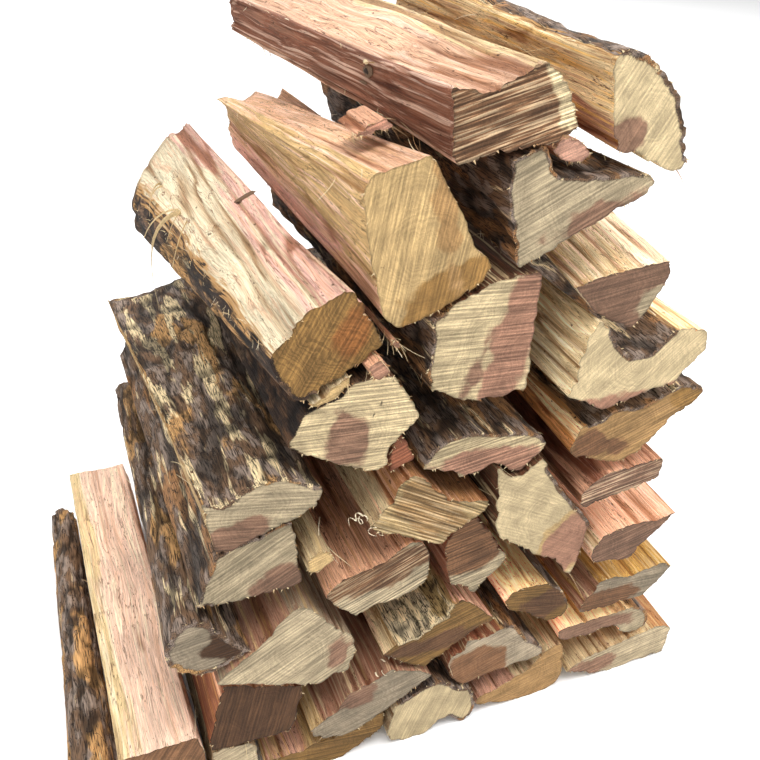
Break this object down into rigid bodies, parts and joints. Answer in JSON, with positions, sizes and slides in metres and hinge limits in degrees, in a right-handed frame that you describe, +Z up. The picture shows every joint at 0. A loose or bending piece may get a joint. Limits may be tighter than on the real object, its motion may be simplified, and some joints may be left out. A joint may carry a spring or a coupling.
{
  "type": "firewood bundle",
  "caption": "Free-standing stack of split firewood logs, end grain to the front, some with bark, with loose chips wedged between them.",
  "frame": {"origin": "on the ground, under the middle of the stack's bounding box", "axes": "+Z up, +X across the end grain from left to right, +Y along the logs away from the pictured ends"},
  "size_m": [0.6418, 0.4192, 0.64],
  "materials": {
    "pink_wood": "raw split heartwood, pink",
    "cream_wood": "raw split sapwood, cream",
    "golden_wood": "raw sawn and split wood, golden brown",
    "grey_wood": "raw sawn wood, weathered grey",
    "barked_wood": "rough dark bark over split wood"
  },
  "bodies": {
    "root": {"log_left_bark": "barked_wood", "log_left_tall": "pink_wood", "log_ground_1": "grey_wood", "log_ground_2": "golden_wood", "log_ground_3": "cream_wood", "log_ground_4": "golden_wood", "log_ground_5": "cream_wood", "log_second_1": "golden_wood", "log_second_2": "grey_wood", "log_second_3": "grey_wood", "log_second_4": "golden_wood", "log_third_1": "barked_wood", "log_third_2": "grey_wood", "log_third_3": "golden_wood", "log_third_4": "golden_wood", "log_third_5": "grey_wood", "log_fourth_1": "grey_wood", "log_fourth_2": "pink_wood", "log_fourth_3": "golden_wood", "log_fourth_4": "cream_wood", "log_fourth_5": "pink_wood", "log_fifth_1": "barked_wood", "log_fifth_2": "golden_wood", "log_fifth_3": "grey_wood", "log_fifth_4": "golden_wood", "log_fifth_5": "pink_wood", "log_sixth_1": "cream_wood", "log_sixth_2": "cream_wood", "log_sixth_3": "cream_wood", "log_sixth_4": "pink_wood", "log_seventh_1": "cream_wood", "log_seventh_2": "golden_wood", "log_seventh_3": "grey_wood", "log_top_left": "pink_wood", "log_top_right": "cream_wood", "kindling_pink": "pink_wood", "kindling_red": "pink_wood", "chip_wedge": "cream_wood", "chip_sliver": "cream_wood", "chip_block": "pink_wood", "chip_small": "pink_wood", "chip_on_log": "pink_wood"}
  },
  "joints": []
}
